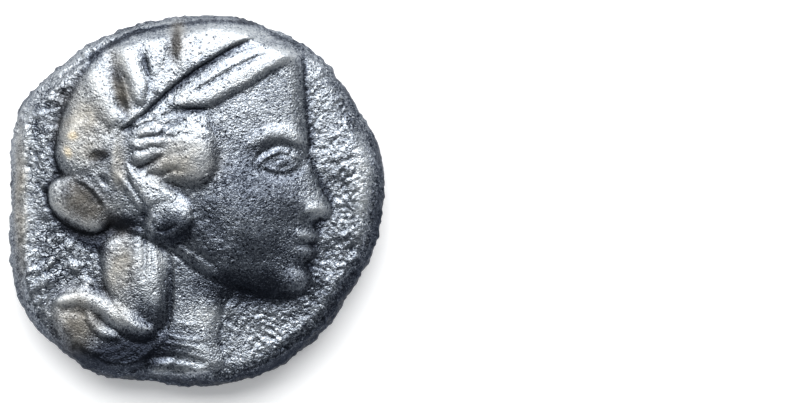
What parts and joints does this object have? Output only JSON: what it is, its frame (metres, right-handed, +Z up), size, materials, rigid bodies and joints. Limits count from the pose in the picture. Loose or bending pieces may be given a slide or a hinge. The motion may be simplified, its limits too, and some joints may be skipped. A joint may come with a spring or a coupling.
{
  "type": "struck silver drachm",
  "caption": "Thick worn silver coin of irregular round outline, a helmeted head in relief on one side and an owl in a sunk square on the other.",
  "frame": {"origin": "on the resting plane, under the middle of the coin's box", "axes": "+Z up through the coin from the owl's side to the head's side; +Y towards the top of the head, +X the way the face looks"},
  "size_m": [0.0148, 0.0146, 0.0036],
  "materials": {
    "silver": "old worn silver: dark blue-grey toning in the hollows, bright rubbed high points with a faint warm tint"
  },
  "bodies": {
    "root": {"coin": "silver"}
  },
  "joints": []
}
